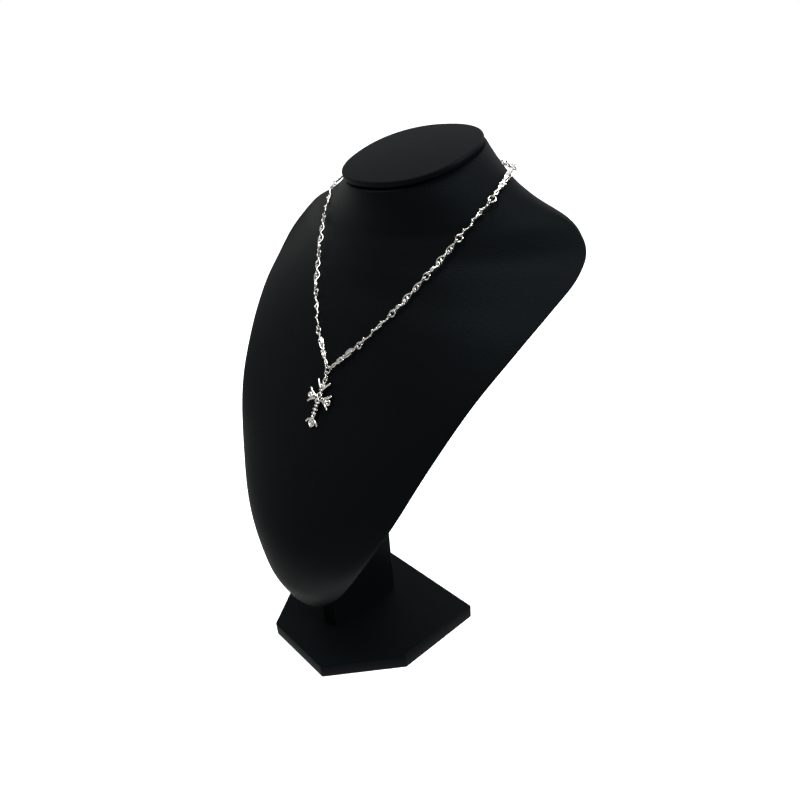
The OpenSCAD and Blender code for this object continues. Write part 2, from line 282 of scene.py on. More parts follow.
def leaf(
    bm: BMesh,
    foot: Place,
    tip: Place,
    half_width: float,
    half_thick: float,
    rise: float,
    vein: float,
) -> None:
    """Adds a pointed leaf with a sunk middle vein, arched outwards.

    Args:
        bm: The mesh that it joins.
        foot: Where the leaf grows from.
        tip: Its point.
        half_width: Half its width where it is widest.
        half_thick: Half its thickness.
        rise: How far its middle arches outwards.
        vein: Depth of the vein, as a share of the thickness.
    """
    start, end = Vector(foot), Vector(tip)
    run = end - start
    side = Vector((0, 0, 1)).cross(run).normalized()
    over = run.cross(side).normalized()
    # Where it is widest, how blunt its ends are, how full its outline, how thin its ends, how wide the vein.
    widest, blunt, fullness, thin_end, vein_reach = 0.45, 0.012, 0.8, 0.35, 0.3
    power = math.log(0.5) / math.log(widest)

    def place(share: float, way: float) -> Vector:
        """Point on the leaf's skin.

        Args:
            share: Share of the way round.
            way: Share of the way to the tip.

        Returns:
            The point.
        """
        turn = 2 * math.pi * share
        grown = math.sin(math.pi * min(max(way, blunt), 1 - blunt) ** power) ** fullness
        wide = half_width * grown
        thick = half_thick * (thin_end + (1 - thin_end) * grown)
        sunk = vein * thick * math.exp(-((math.cos(turn) / vein_reach) ** 2)) if math.sin(turn) > 0 else 0.0
        out = thick * math.sin(turn) - sunk + rise * math.sin(math.pi * way)
        return start + run * way + side * (wide * math.cos(turn)) + over * out

    wrap(bm, 16, 12, place)


def mesh_object(name: str, mesh: Mesh, material: Material | None = None) -> Piece:
    """Gives a mesh an object in the scene, smoothly shaded and in its material.

    Args:
        name: Name of the object.
        mesh: Its mesh.
        material: Its material, if it has one.

    Returns:
        The object.
    """
    piece = bpy.data.objects.new(name, mesh)
    bpy.context.scene.collection.objects.link(piece)
    mesh.shade_smooth()
    if material:
        mesh.materials.append(material)
    return piece


def mesh_from(name: str, bm: BMesh) -> Mesh:
    """Turns a bmesh into a mesh whose faces all look outwards.

    Args:
        name: Name of the mesh.
        bm: The bmesh. It is freed.

    Returns:
        The mesh.
    """
    bmesh.ops.recalc_face_normals(bm, faces=bm.faces)
    mesh = bpy.data.meshes.new(name)
    bm.to_mesh(mesh)
    bm.free()
    return mesh


def cast(name: str, bm: BMesh, voxel: float, kept: float) -> Mesh:
    """Fuses overlapping forms into one skin with soft inner corners, as a wax casting has.

    Args:
        name: Name of the mesh.
        bm: The forms, in millimetres. It is freed.
        voxel: Size of the fusing grid in millimetres.
        kept: Share of the triangles that is kept.

    Returns:
        The fused mesh.
    """
    rough = mesh_object(name + "_rough", mesh_from(name + "_rough", bm))
    fuse = rough.modifiers.new("fuse", "REMESH")
    fuse.mode = "VOXEL"
    fuse.voxel_size = voxel
    soften = rough.modifiers.new("soften", "SMOOTH")
    soften.factor = 0.5
    soften.iterations = 2
    thin = rough.modifiers.new("thin", "DECIMATE")
    thin.ratio = kept
    graph = bpy.context.evaluated_depsgraph_get()
    mesh = bpy.data.meshes.new_from_object(rough.evaluated_get(graph))
    mesh.name = name
    bpy.data.objects.remove(rough)
    return mesh


def rows(items: Sequence, key: str, width: int, kind: type) -> np.ndarray:
    """Reads one property of a mesh's points or edges into rows of numbers.

    Args:
        items: The mesh's points or edges.
        key: Name of the property.
        width: Numbers in a row.
        kind: Type of the numbers.

    Returns:
        One row for each item.
    """
    flat = np.empty(len(items) * width, kind)
    items.foreach_get(key, flat)
    return flat.reshape(-1, width)


def oxide_and_underside_shade(mesh: Mesh, passes: int, depth: float) -> None:
    """Writes where the dark oxide stays when cast silver is polished, in hollows, and adds painted shade on
    undersides.

    Args:
        mesh: The mesh, in millimetres, with its face along +z.
        passes: Rounds of smoothing, which set how wide a hollow counts.
        depth: Depth in millimetres that counts as fully sunk.
    """
    # How far a face looks down before it gets painted shade, and how fast the painted shade darkens from
    # there.
    painted_shade_from, painted_shade_gain = 0.6, 1.5
    count = len(mesh.vertices)
    points = rows(mesh.vertices, "co", 3, np.float32).astype(float)
    normals = rows(mesh.vertices, "normal", 3, np.float32)
    edges = rows(mesh.edges, "vertices", 2, np.int32)
    near = np.maximum(np.bincount(edges.ravel(), minlength=count), 1)[:, None]

    def spread(values: np.ndarray) -> np.ndarray:
        """Averages each point's value with its neighbours'.

        Args:
            values: One row for each point.

        Returns:
            The averaged rows.
        """
        total = np.zeros_like(values)
        for axis in range(values.shape[1]):
            for here, there in ((0, 1), (1, 0)):
                total[:, axis] += np.bincount(edges[:, here], values[edges[:, there], axis], count)
        return 0.5 * values + 0.5 * total / near

    calm = points
    for _ in range(passes):
        calm = spread(calm)
    sunk = ((calm - points) * normals).sum(1, keepdims=True) / depth
    # Painted shade: faces that look down are darkened as if in shadow.
    painted_underside_shade = np.clip(-painted_shade_from - normals[:, 2:3], 0, 1) * painted_shade_gain
    # One layer: oxide in the hollows plus painted shade on the undersides.
    dark = spread(np.clip(sunk + painted_underside_shade, 0, 1))
    layer = mesh.attributes.new("oxide_and_underside_shade", "FLOAT", "POINT")
    layer.data.foreach_set("value", dark.ravel().astype(np.float32))


# Finishes


@dataclass(frozen=True)
class Leatherette:
    """Embossed black vinyl cloth: near black, with a soft broad sheen and a fine pebble grain."""

    name: str
    tint: str = "#040506"
    handled_tint: str = "#06080A"
    gloss_tint: str = "#DEF8FF"
    roughness: Span = (0.47, 0.59)
    handled_mm: float = 70.0
    # The real pebbles are about 0.6 mm across. They are drawn at 1.1 mm so that a render shows them.
    pebble_mm: float = 1.1
    relief_mm: float = 0.1

    def material(self) -> Material:
        """Builds the material.

        Returns:
            The material.
        """
        made, tree, place = new_material(self.name)
        pebbles = add_node(
            tree, "TexVoronoi", {"feature": "F1"}, {"Vector": place, "Scale": 1 / (self.pebble_mm * MM)}
        )
        handling = add_node(
            tree,
            "TexNoise",
            inputs={"Vector": place, "Scale": 1 / (self.handled_mm * MM), "Detail": 3.0},
        ).outputs["Fac"]
        shade = add_node(
            tree,
            "Mix",
            {"data_type": "RGBA"},
            {"Factor": handling, "A": linear(self.tint), "B": linear(self.handled_tint)},
        )
        smoothest, roughest = self.roughness
        worn = add_node(
            tree, "MapRange", inputs={"Value": handling, "To Min": smoothest, "To Max": roughest}
        )
        grain = add_node(
            tree,
            "Bump",
            {"invert": True},
            {"Height": pebbles.outputs["Distance"], "Distance": self.relief_mm * MM, "Strength": 0.8},
        )
        feed(
            tree,
            tree.nodes["Principled BSDF"],
            {
                "Base Color": shade.outputs["Result"],
                "Roughness": worn.outputs["Result"],
                "Normal": grain.outputs["Normal"],
                "IOR": 1.46,
                "Specular IOR Level": 0.048,
                "Specular Tint": linear(self.gloss_tint),
                "Sheen Weight": 0.005,
                "Sheen Roughness": 0.4,
            },
        )
        return made


@dataclass(frozen=True)
class AgedSilver:
    """Cast sterling silver, polished bright on its high spots and left dark with oxide in its hollows, with
    painted shade darkening its undersides.
    """

    name: str
    bright: str = "#E8E6E0"
    oxide_and_shade: str = "#12110F"
    polish: float = 0.15
    dull: float = 0.6
    # Casting and hand polishing leave a faint unevenness of this width and depth.
    skin_mm: float = 0.5
    skin_depth_mm: float = 0.03
    # A piece with hollows takes its oxide and its painted underside shade from its layer, unevenly. Plain
    # wire has faint patches.
    has_hollows: bool = True
    uneven: float = 0.5
    oxide_and_shade_span: Span = (0.4, 0.72)
    patch_span: Span = (0.62, 0.9)
    patch_dark: float = 0.5

    def material(self) -> Material:
        """Builds the material.

        Returns:
            The material.
        """
        made, tree, place = new_material(self.name)
        skin = add_node(
            tree, "TexNoise", inputs={"Vector": place, "Scale": 1 / (self.skin_mm * MM), "Detail": 2.0}
        ).outputs["Fac"]
        if self.has_hollows:
            # This layer holds oxide in the hollows and painted shade on the undersides.
            layer = add_node(tree, "Attribute", {"attribute_name": "oxide_and_underside_shade"})
            depth = add_node(
                tree,
                "Math",
                {"operation": "MULTIPLY_ADD"},
                {0: skin, 1: self.uneven, 2: layer.outputs["Fac"]},
            )
            low, high = self.oxide_and_shade_span
            reach = {"Value": depth.outputs[0], "From Min": low, "From Max": high}
        else:
            low, high = self.patch_span
            reach = {"Value": skin, "From Min": low, "From Max": high, "To Max": self.patch_dark}
        dark = add_node(tree, "MapRange", inputs=reach).outputs["Result"]
        # Mixes towards the dark colour: oxide in hollows and painted shade on undersides where the piece has
        # hollows, faint patches on plain wire.
        shade = add_node(
            tree,
            "Mix",
            {"data_type": "RGBA"},
            {"Factor": dark, "A": linear(self.bright), "B": linear(self.oxide_and_shade)},
        )
        gloss = add_node(
            tree, "MapRange", inputs={"Value": dark, "To Min": self.polish, "To Max": self.dull}
        )
        bump = add_node(
            tree,
            "Bump",
            inputs={"Height": skin, "Distance": self.skin_depth_mm * MM, "Strength": 0.5},
        )
        feed(
            tree,
            tree.nodes["Principled BSDF"],
            {
                "Base Color": shade.outputs["Result"],
                "Roughness": gloss.outputs["Result"],
                "Normal": bump.outputs["Normal"],
                "Metallic": 1.0,
            },
        )
        return made


# The stand


@dataclass(frozen=True)
class Section:
    """One level section of the bust, in millimetres."""

    z: float
    half_width: float
    front: float
    rim: float
    back: float
    roundness: float
    slope_share: float


@dataclass(frozen=True)
class BustForm:
    """The bust's shape, in millimetres and degrees.

    A row number runs up the sections, and a turn goes from the front middle past the right side to
    the back middle.
    """

    sections: tuple[Row, ...] = (
        (43, 6, -44.5, -42.5, -39.5, 1.4, 0),
        (47, 15, -49.5, -43.5, -38.5, 1.4, 0),
        (57, 26, -56.5, -44.5, -37.5, 1.42, 0),
        (78, 46, -63.5, -44.5, -35.5, 1.44, 0),
        (110, 68.5, -60.5, -41.5, -33.5, 1.45, 0),
        (148, 89, -41.5, -29, -10.4, 1.44, 0),
        (186, 105, -17.5, -12.5, 12.6, 1.4, 0),
        (222, 118.5, 3.5, 11, 34.5, 1.3, 0),
        (250, 130.5, 19, 35.5, 51.5, 1.16, 0.17),
        (270, 137.7, 30.5, 57.5, 74.5, 1, 0.34),
        (286, 142, 36.5, 75.4, 94, 0.88, 0.51),
        (300, 137.5, 41.5, 89, 110, 0.87, 0.68),
        (313.5, 121.5, 46.5, 95, 113.5, 1.1, 0.86),
        (320, 95, 49, 92.5, 117, 1.55, 0.97),
        (345.3, 53.7, 46, 92.5, 129.5, 2, 1),
    )
    cap_slope: float = 20
    # The neck runs into the chest in one curve: from this row up, a section is blended with those near it.
    soft_from: float = 10.3
    soft_reach: float = 0.42
    # A bead of rolled cloth stands up this far, in millimetres, along the edge of the chest, with a
    # groove inside it. Each has a turn and a width in degrees, and both have faded out at the top row.
    edge_bead: float = 0.6
    groove_share: float = 0.35
    bead_at: Span = (91.0, 3.5)
    groove_at: Span = (82.0, 3.0)
    bead_top: float = 8.5
    bead_fade: float = 1.5

    @property
    def top(self) -> int:
        """Row number of the highest section."""
        return len(self.sections) - 1

    def section(self, row: float) -> Section:
        """Gives the section at a row number.

        Args:
            row: Row number, which may lie between two rows.

        Returns:
            The section.
        """
        reach = self.soft_reach * min(row - self.soft_from, self.top - row, 1)
        if reach <= 0:
            return Section(*catmull(self.sections, row))
        near = [catmull(self.sections, row + reach * k) for k in (-2, -1, 0, 1, 2)]
        # Weights of a bell curve over the five places.
        weights = (0.0625, 0.25, 0.375, 0.25, 0.0625)
        return Section(*(sum(w * v for w, v in zip(weights, values)) for values in zip(*near)))

    def bead(self, row: float, turn: float) -> float:
        """Gives how far the edge's bead lifts the skin, which fades out towards the shoulders.

        Args:
            row: Row number.
            turn: Turn in degrees.

        Returns:
            The lift in millimetres.
        """
        half_turn = 180 - abs(180 - turn)
        fade = min(max((self.bead_top - row) / self.bead_fade, 0), 1)
        ends = (self.bead_at, self.groove_at)
        ridge, groove = (math.exp(-(((half_turn - at) / width) ** 2)) for at, width in ends)
        return self.edge_bead * fade * (ridge - self.groove_share * groove)

    def point(self, row: float, turn: float) -> Vector:
        """Gives the point of the bust's skin at a row number and a turn.

        Args:
            row: Row number.
            turn: Turn in degrees.

        Returns:
            The point in metres.
        """
        s = self.section(row)
        ahead = math.cos(math.radians(turn))
        if ahead > 0:
            y = s.rim + (s.front - s.rim) * ahead ** (2 / s.roundness)
        else:
            y = s.rim - (s.back - s.rim) * ahead
        x = s.half_width * math.sin(math.radians(turn))
        x += math.copysign(self.bead(row, turn), x)
        z = s.z + (y - s.rim) * math.tan(math.radians(self.cap_slope * s.slope_share))
        return Vector((x, y, z)) * MM


@dataclass
class Stand:
    """Leatherette bust with its neck cap, on a post board and a base plate."""

    leather: Material
    form: BustForm = field(default_factory=BustForm)
    levels: int = 120
    around: int = 144
    tip_crowding: float = 1.2
    edge_mm: float = 1.2
    # Faces of a board that meet at less than this angle are one face.
    flat_deg: float = 2.0
    cap_roundness: float = 2.25
    # The cap's side: each row is a share of the rim's size and a height, from its foot to its top.
    cap_profile: tuple[Span, ...] = (
        (0.965, 0), (0.965, 0.7), (0.985, 0.8), (0.997, 1.2), (1.0, 2.0),
        (1.0, 3.6), (0.996, 4.3), (0.986, 4.8), (0.968, 5),
    )

    def skin(self) -> Piece:
        """Builds the bust's skin, with rounded edges at the top of the neck and at the tip.

        Returns:
            The piece.
        """
        bm = bmesh.new()

        def place(share: float, up: float) -> Vector:
            """Point on the skin, closer set near the tip."""
            return self.form.point(self.form.top * up**self.tip_crowding, 360 * share)

        wrap(bm, self.around, self.levels, place)
        for pick, segments in ((max, 4), (min, 3)):
            # The top and the tip are the only faces with many corners.
            ends = [f for f in bm.faces if len(f.verts) > 8]
            end = pick(ends, key=lambda f: f.calc_center_median().z)
            round_edges(bm, end.edges, self.edge_mm, segments)
        return mesh_object("leather_bust", mesh_from("leather_bust", bm), self.leather)

    def cap(self) -> Piece:
        """Builds the oval cap, with a soft rim over a narrow sunk foot that leaves a dark groove.

        Returns:
            The piece.
        """
        low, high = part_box("neck_cap")
        half_w = (high.x - low.x) / 2
        slope = math.radians(self.form.cap_slope)
        thick = self.cap_profile[-1][1] * MM
        half_d = ((high.y - low.y) / 2 - thick / 2 * math.sin(slope)) / math.cos(slope)
        turn = Matrix.Translation((low + high) / 2) @ Matrix.Rotation(slope, 4, "X")
        bm = bmesh.new()

        def squared(value: float) -> float:
            """Squares the oval off a little."""
            return math.copysign(abs(value) ** (2 / self.cap_roundness), value)

        def place(share: float, up: float) -> Vector:
            """Point on the cap's side.

            Args:
                share: Share of the way round.
                up: Share of the way through the profile.

            Returns:
                The point.
            """
            size, height = self.cap_profile[round(up * (len(self.cap_profile) - 1))]
            angle = 2 * math.pi * share
            inset = (1 - size) * half_w
            x = (half_w - inset) * squared(math.cos(angle))
            y = (half_d - inset) * squared(math.sin(angle))
            return turn @ Vector((x, y, height * MM - thick / 2))

        wrap(bm, 128, len(self.cap_profile) - 1, place)
        return mesh_object("leather_neck_cap", mesh_from("leather_neck_cap", bm), self.leather)

    def board(self, node: str) -> Piece:
        """Copies the board of a node and rounds its edges as wrapped cloth does.

        Args:
            node: The node.

        Returns:
            The piece.
        """
        name = "leather_" + node
        bm = bmesh.new()
        bm.from_mesh(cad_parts[node].data)
        bmesh.ops.remove_doubles(bm, verts=bm.verts, dist=WELD)
        flat = math.radians(self.flat_deg)
        bmesh.ops.dissolve_limit(bm, angle_limit=flat, verts=bm.verts, edges=bm.edges)
        round_edges(bm, bm.edges, self.edge_mm, 4)
        return mesh_object(name, mesh_from(name, bm), self.leather)

    def build(self) -> Iterable[tuple[Piece, str]]:
        """Builds the stand's pieces, each with the node that it stands for.

        Yields:
            Each piece and its node.
        """
        for node in ("base_plate", "post"):
            yield self.board(node), node
        yield self.skin(), "bust"
        yield self.cap(), "neck_cap"


# The chain


class Side(Enum):
    """Half of the chain, with the way that its links' pattern faces."""

    RIGHT = 1
    LEFT = -1

    @property
    def tag(self) -> str:
        """The side's word in a node's name."""
        return self.name.lower()


@dataclass(frozen=True)
class Gauge:
    """Wire sizes of the chain, in millimetres."""

    ring_r: float = 2.15
    centre_r: float = 2.4
    ring_wire: float = 0.48
    eye_r: float = 1.3
    eye_wire: float = 0.42
    play: float = 0.27

    @property
    def eye_offset(self) -> float:
        """Distance from the middle of a ring's wire to the middle of the loop that hangs on it."""
        return self.eye_r - self.eye_wire - self.ring_wire - self.play


@dataclass(frozen=True)
class RingPlace:
    """Where a ring of the chain lies, in metres."""

    middle: Vector
    normal: Vector
    radius: float

    def wire_point(self, towards: Vector) -> Vector:
        """Gives the point of the ring's wire that lies towards a direction."""
        flat = (towards - towards.dot(self.normal) * self.normal).normalized()
        return self.middle + self.radius * flat

    @property
    def down(self) -> Vector:
        """The steepest way down in the ring's plane, where the ring faces the front."""
        return Vector((1, 0, 0)).cross(self.normal)


def ring_place(node: str, radius_mm: float) -> RingPlace:
    """Reads a ring's middle and plane from its solid.

    Args:
        node: The ring's node.
        radius_mm: Radius to the middle of its wire.

    Returns:
        The ring's place, whose normal points away from the bust.
    """
    points = np.array([v.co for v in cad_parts[node].data.vertices], float)
    low, high = points.min(0), points.max(0)
    middle = (low + high) / 2
    normal = Vector(np.linalg.svd(points - middle, full_matrices=False)[2][2])
    # A point inside the bust, behind the ring and below it.
    inside = Vector((0, 0.09, middle[2] - 0.06))
    if normal.dot(Vector(middle) - inside) < 0:
        normal = -normal
    return RingPlace(Vector(middle), normal.normalized(), radius_mm * MM)


def centre_ring(gauge: Gauge) -> RingPlace:
    """Reads the ring that carries both halves of the chain and the pendant."""
    return ring_place("centre_ring", gauge.centre_r)


def on_axes(origin: Vector, along_x: Vector, near_z: Vector) -> Matrix:
    """Gives the placing of a drawing in millimetres: its x along one direction, its z near another.

    Args:
        origin: Where the drawing's origin lies, in metres.
        along_x: Direction of its x.
        near_z: Direction that its z comes as near to as a right angle allows.

    Returns:
        The placing, which also turns millimetres to metres.
    """
    x = along_x.normalized()
    z = (near_z - near_z.dot(x) * x).normalized()
    y = z.cross(x)
    turn = Matrix((x, y, z)).transposed().to_4x4()
    return Matrix.Translation(origin) @ turn @ Matrix.Scale(MM, 4)


@dataclass(frozen=True)
class Casting:
    """What a cast link's pattern is made of. Places along it are shares of its body.

    Strands are lists of (share, aside, out, radius). Leaves are (foot share, foot aside, tip share,
    tip aside, half width). Beads are (share, aside, out, radius). The kind is its word in a name.
    """

    kind: str
    strands: tuple[tuple[Row, ...], ...]
    leaves: tuple[Row, ...]
    beads: tuple[Row, ...]


# Two open-twisted stems with eye-shaped gaps, side beads, and a broad leaf that ends in three fingers.
BROAD_LEAF = Casting(
    kind="leaf",
    strands=(
        (
            (0, 0, 0, 0.5), (0.08, 0.9, 0, 0.45), (0.19, 0.1, 0.3, 0.5), (0.3, -1.2, 0, 0.42),
            (0.42, -0.7, 0, 0.4), (0.52, 0.3, 0.2, 0.5), (0.62, 0.9, 0, 0.45), (0.75, 0.5, 0.2, 0.45),
            (0.9, 0.3, 0, 0.42), (1, 0, 0, 0.5),
        ),
        (
            (0, 0, 0, 0.5), (0.08, -0.9, 0, 0.45), (0.19, -0.1, -0.3, 0.5), (0.3, 1.1, 0, 0.45),
            (0.42, 0.8, 0, 0.45), (0.52, -0.3, -0.2, 0.5), (0.64, -1.2, 0, 0.4), (0.78, -1.2, 0, 0.38),
            (0.9, -0.5, 0, 0.4), (1, 0, 0, 0.5),
        ),
    ),
    leaves=(
        (0.2, 0.1, 0.46, 0.9, 0.75), (0.22, -0.2, 0.42, -1.5, 0.5), (0.56, 0.5, 0.92, 1.2, 1.05),
        (0.62, 0.6, 0.97, 0.35, 0.6), (0.6, 0.9, 0.86, 2.1, 0.55), (0.5, -0.2, 0.36, 1.9, 0.5),
        (0.9, -0.2, 0.76, -1.9, 0.45),
    ),
    beads=(
        (0.47, -1.3, 0.1, 0.62), (0.53, 1.1, 0.1, 0.6), (0.8, -1.4, 0, 0.55), (0.2, 0, 0.15, 0.75),
        (0.52, 0, 0.1, 0.7),
    ),
)
# A blunt leaf at the start, then a stem that bows out twice on one side, with a thin tendril opposite
# and short leaves across each bow.
CAGE_LEAF = Casting(
    kind="leaf",
    strands=(
        (
            (0, 0, 0, 0.5), (0.07, -0.2, 0.1, 0.5), (0.15, -0.9, 0.2, 0.5), (0.21, -1.2, 0.1, 0.54),
            (0.25, -0.4, 0.1, 0.5), (0.3, 0.8, 0, 0.5), (0.36, 1.6, 0, 0.48), (0.44, 1.6, 0, 0.48),
            (0.52, 0.6, 0.1, 0.5), (0.59, -0.6, 0.2, 0.52), (0.65, -0.2, 0.2, 0.54), (0.71, 1.0, 0.1, 0.46),
            (0.78, 1.4, 0, 0.45), (0.86, 1.0, 0, 0.46), (0.94, 0.3, 0, 0.48), (1, 0, 0, 0.5),
        ),
        (
            (0.2, -1.1, 0, 0.4), (0.27, -1.9, -0.1, 0.3), (0.36, -2.1, -0.15, 0.27),
            (0.45, -1.8, -0.15, 0.27), (0.53, -1.0, -0.1, 0.3), (0.6, -0.5, 0, 0.42),
        ),
        (
            (0.62, -0.5, 0, 0.4), (0.69, -1.5, -0.1, 0.28), (0.77, -1.8, -0.15, 0.26),
            (0.85, -1.4, -0.15, 0.27), (0.93, -0.5, 0, 0.36), (1, 0, 0, 0.5),
        ),
    ),
    leaves=(
        (-0.01, 0.4, 0.2, -0.9, 1.1), (0.27, -2.3, 0.37, 0.3, 0.6), (0.37, -2.5, 0.47, 0.3, 0.62),
        (0.68, -2.1, 0.76, 0.1, 0.52), (0.78, -2.1, 0.86, 0.1, 0.52),
    ),
    beads=(
        (0.22, -1.2, 0.2, 0.62), (0.27, -2.0, 0, 0.5), (0.6, -0.5, 0.2, 0.72),
        (0.65, -0.3, 0.2, 0.62), (0.9, 0.6, 0, 0.5),
    ),
)
# One thin waved stem with knots, one split, and thorns.
THORN_VINE = Casting(
    kind="thorn",
    strands=(
        (
            (0, 0, 0, 0.5), (0.1, 0.2, 0, 0.42), (0.2, -0.4, 0, 0.44), (0.32, -0.5, 0, 0.5),
            (0.45, 0.4, 0, 0.5), (0.55, 0.1, 0, 0.6), (0.66, 0.9, 0, 0.42), (0.78, 0.3, 0, 0.46),
            (0.88, -0.4, 0, 0.5), (1, 0, 0, 0.5),
        ),
        ((0.5, 0, 0, 0.4), (0.58, -0.7, 0, 0.34), (0.68, -0.8, 0, 0.3), (0.79, 0.1, 0, 0.36)),
    ),
    leaves=(
        (0.02, 0.1, 0.12, 1.5, 0.4), (0.24, -0.4, 0.33, -1.9, 0.42), (0.36, -0.2, 0.46, 1.5, 0.45),
        (0.56, 0, 0.7, -1.9, 0.45), (0.8, 0.3, 0.72, 1.9, 0.4), (0.9, -0.3, 0.99, -1.6, 0.42),
    ),
    beads=((0.55, 0.0, 0.1, 0.72), (0.33, -0.5, 0, 0.6), (0.82, 0.1, 0.1, 0.62), (0.12, 0.2, 0, 0.52)),
)


@dataclass
class Silverwork:
    """What the makers of the chain and the pendant share."""

    cast_silver: Material
    drawn_silver: Material
    gauge: Gauge = field(default_factory=Gauge)

    def cast_piece(
        self, name: str, bm: BMesh, place: Matrix, voxel: float, passes: int, depth: float, kept: float = 0.35
    ) -> Piece:
        """Fuses forms drawn in millimetres, darkens their hollows with oxide and their undersides with
        painted shade, and puts the casting in place.

        Args:
            name: Name of the piece.
            bm: The forms. It is freed.
            place: Where it goes.
            voxel: Size of the fusing grid in millimetres.
            passes: Rounds of smoothing that set how wide a hollow counts.
            depth: Depth in millimetres that counts as fully sunk.
            kept: Share of the triangles that is kept.

        Returns:
            The piece.
        """
        mesh = cast(name, bm, voxel, kept)
        oxide_and_underside_shade(mesh, passes, depth)
        mesh.transform(place)
        return mesh_object(name, mesh, self.cast_silver)

    def wire_piece(self, name: str, bm: BMesh, place: Matrix) -> Piece:
        """Puts a form of drawn wire, in millimetres, in place.

        Args:
            name: Name of the piece.
            bm: The form. It is freed.
            place: Where it goes.

        Returns:
            The piece.
        """
        mesh = mesh_from(name, bm)
        mesh.transform(place)
        return mesh_object(name, mesh, self.drawn_silver)


@dataclass
class Chain(Silverwork):
    """The chain: cast links, soldered rings between them, and the clasp at the nape."""

    # Stretches of a strand from one of its rows to the next.
    knot_steps: int = 8
    # The castings' strands, beads and leaves are this much heavier than their tables say.
    stem_weight: float = 1.2
    leaf_weight: float = 1.25
    # The first few left links have their bodies turned about their length.
    left_roll_deg: float = 32.0
    left_rolled: int = 5
    # The links of one half, from the centre ring to the nape.
    castings: tuple[Casting, ...] = (
        BROAD_LEAF, THORN_VINE, CAGE_LEAF, CAGE_LEAF, THORN_VINE, BROAD_LEAF, CAGE_LEAF, THORN_VINE,
    )
    # The clasp's barrel from its waist to its end: each row is a share of half its length and a radius.
    barrel: tuple[Span, ...] = (
        (0, 1.2), (0.06, 1.22), (0.1, 1.4), (0.6, 1.4), (0.9, 1.36), (0.97, 1.1), (1, 0.75),
    )

    def rings(self, side: Side) -> list[RingPlace]:
        """Lists the rings of one half, from the centre ring to the nape."""
        names = [f"ring_{i}_{side.tag}" for i in range(1, len(self.castings) + 1)]
        return [centre_ring(self.gauge)] + [ring_place(name, self.gauge.ring_r) for name in names]

    def ring_piece(self, name: str, place: RingPlace) -> Piece:
        """Builds a soldered ring of round wire.

        Args:
            name: Name of the piece.
            place: Where the ring lies.

        Returns:
            The piece.
        """
        bm = bmesh.new()
        loop(bm, (0, 0, 0), (0, 0, 1), place.radius / MM, self.gauge.ring_wire, 48)
        return self.wire_piece(name, bm, on_axes(place.middle, place.normal.orthogonal(), place.normal))

    def roll(self, number: int, side: Side) -> float:
        """Gives how far a link's body is turned about its length, in radians."""
        return math.radians(self.left_roll_deg) if side is Side.LEFT and number <= self.left_rolled else 0.0

    def link_form(self, casting: Casting, length: float, flip: int, roll: float) -> BMesh:
        """Draws a link in millimetres along x, with its first loop round the origin.

        Args:
            casting: What the link is made of.
            length: Distance between the middles of its two loops.
            flip: 1, or -1 for its mirror image.
            roll: Turn of the body about x between its two loops, in radians.

        Returns:
            The link's forms.
        """
        g = self.gauge
        start, run = g.eye_r, length - 2 * g.eye_r
        bm = bmesh.new()
        for x in (0.0, length):
            loop(bm, (x, 0, 0), (0, 1, 0), g.eye_r, g.eye_wire)
        for strand in casting.strands:
            knots = [(start + run * p[0], flip * p[1], p[2], p[3]) for p in strand]
            line = smooth(knots, self.knot_steps * (len(knots) - 1))
            rod(bm, [Vector(p[:3]) for p in line], [self.stem_weight * p[3] for p in line])
        for foot, foot_aside, tip, tip_aside, half_width in casting.leaves:
            leaf(
                bm,
                (start + run * foot, flip * foot_aside, 0.1),
                (start + run * tip, flip * tip_aside, 0.45),
                self.leaf_weight * half_width,
                half_thick=0.62,
                rise=0.45,
                vein=0.6,
            )
        for share, aside, out, r in casting.beads:
            r *= self.stem_weight
            stud(bm, (start + run * share, flip * aside, out), (r, r, r * 0.9))
        for v in bm.verts:
            share = (v.co.x - start) / run
            # The turn eases in over the first sixth of the body and out over the last.
            ease = min(max(6 * min(share, 1 - share), 0), 1)
            v.co = Matrix.Rotation(roll * ease * ease * (3 - 2 * ease), 3, "X") @ v.co
        return bm

    def link_piece(self, name: str, number: int, rings: list[RingPlace], side: Side) -> Piece:
        """Builds a link and hangs it between its two rings.

        Args:
            name: Name of the piece.
            number: The link's number from the centre ring.
            rings: The half's rings, from the centre ring.
            side: The half.

        Returns:
            The piece.
        """
        before, after = rings[number - 1], rings[number]
        chord = after.middle - before.middle
        start, end = before.wire_point(chord), after.wire_point(-chord)
        ahead = (end - start).normalized()
        offset = self.gauge.eye_offset
        length = (end - start).length / MM - 2 * offset
        casting = self.castings[number - 1]
        bm = self.link_form(casting, length, side.value, self.roll(number, side))
        place = on_axes(start + offset * MM * ahead, ahead, before.normal + after.normal)
        return self.cast_piece(name, bm, place, voxel=0.11, passes=9, depth=0.05)

    def clasp(self) -> Piece:
        """Builds the barrel clasp, turned with a waist groove and rounded ends, between its two loops.

        Returns:
            The piece.
        """
        low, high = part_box("clasp")
        half = (high.x - low.x) / 2 / MM - self.gauge.eye_r - self.gauge.eye_wire
        last = ring_place("ring_8_right", self.gauge.ring_r)
        bm = bmesh.new()
        for x in (-half, half):
            loop(bm, (x, 0, 0), (0, 1, 0), self.gauge.eye_r, self.gauge.eye_wire)
        body = half - self.gauge.eye_r
        turned = [(-share, r) for share, r in self.barrel[:0:-1]] + list(self.barrel)
        rod(bm, [Vector((body * share, 0, 0)) for share, _ in turned], [r for _, r in turned], sides=32)
        out = Vector((0, last.normal.y, last.normal.z))
        place = on_axes((low + high) / 2, Vector((1, 0, 0)), out)
        return self.cast_piece("turned_clasp", bm, place, voxel=0.1, passes=14, depth=0.045, kept=0.4)

